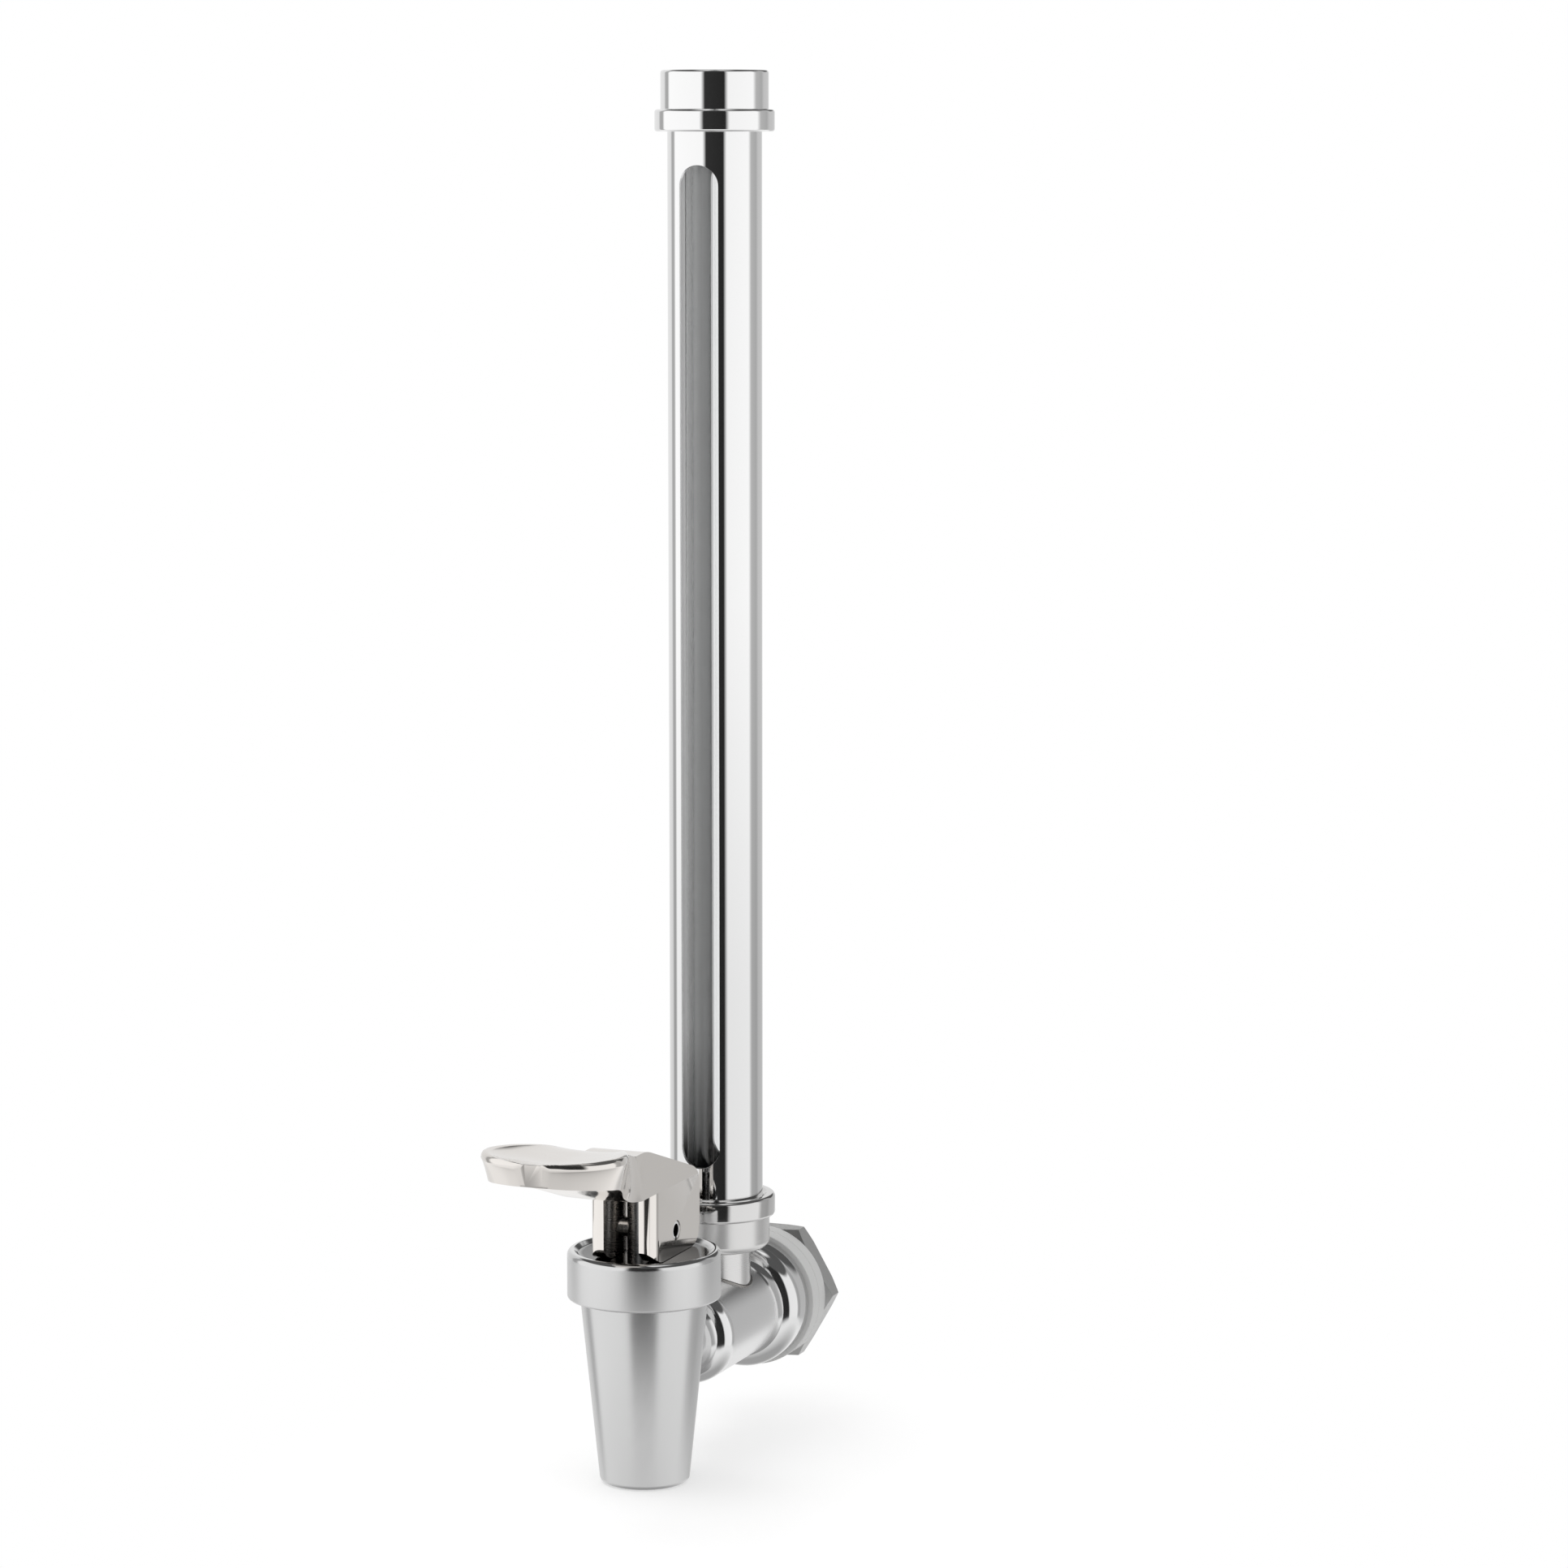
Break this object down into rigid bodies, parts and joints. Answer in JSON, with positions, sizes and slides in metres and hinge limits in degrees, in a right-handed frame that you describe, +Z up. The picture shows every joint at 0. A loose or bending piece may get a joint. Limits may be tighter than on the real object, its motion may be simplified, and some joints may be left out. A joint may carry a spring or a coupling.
{
  "type": "sight glass spigot",
  "caption": "Stainless lever tap with a tapered spout on a threaded wall shank, and an upright glass level gauge in a windowed shield tube rising from its barrel.",
  "frame": {"origin": "on the barrel's axis, in the plane of the flange face that seats against the vessel's wall", "axes": "+Z up along the gauge, +Y along the barrel into the vessel, so the lever and spout are on the -Y side; +X to the right of someone who faces the tap"},
  "size_m": [0.0312, 0.136, 0.2793],
  "materials": {
    "cast_steel": "satin ground, with polished beads and coves",
    "satin_steel": "satin, with a polished dish",
    "polished_steel": "polished",
    "mirror_steel": "mirror polished",
    "stem_steel": "ground",
    "spring_steel": "bright drawn",
    "nut_steel": "dull, as forged",
    "silicone": "matt, milky",
    "seal_rubber": "matt",
    "bush_plastic": "moulded",
    "gauge_glass": "clear"
  },
  "bodies": {
    "tap": {"tap_body": "cast_steel", "bonnet_cap": "satin_steel", "bonnet_gasket": "silicone", "stem_bush": "bush_plastic", "stem_oring": "seal_rubber", "lower_socket": "cast_steel", "lower_seal": "silicone", "sight_glass": "gauge_glass", "shield_tube": "mirror_steel", "upper_seal": "silicone", "top_cap": "mirror_steel", "wall_washer_outer": "silicone", "wall_washer_inner": "silicone", "lock_nut": "nut_steel"},
    "spring_seat": {"thrust_washer": "spring_steel", "stem_spring": "spring_steel"},
    "stem": {"stem": "stem_steel", "seat_plug": "silicone"},
    "lever": {"lever": "polished_steel", "lever_pin": "spring_steel"}
  },
  "joints": [
    {"name": "lever_swivel", "type": "hinge", "parent": "tap", "child": "spring_seat", "pos_m": [0, -0.0573, 0.0168], "axis": [0, 0, 1], "range_deg": [-140, 140]},
    {"name": "stem_lift", "type": "slide", "parent": "spring_seat", "child": "stem", "axis": [0, 0, 1], "range_m": [0, 0.0026], "stiffness_N_per_m": 1000, "springref_m": -0.0045, "deforming": ["stem_spring"]},
    {"name": "lever_tilt", "type": "hinge", "parent": "stem", "child": "lever", "pos_m": [0, -0.0573, 0.02698], "axis": [1, 0, 0], "range_deg": [0, 22]}
  ],
  "couplings": [
    {"joint": "lever_tilt", "follows": "stem_lift", "rad_per_m": 147.68}
  ]
}
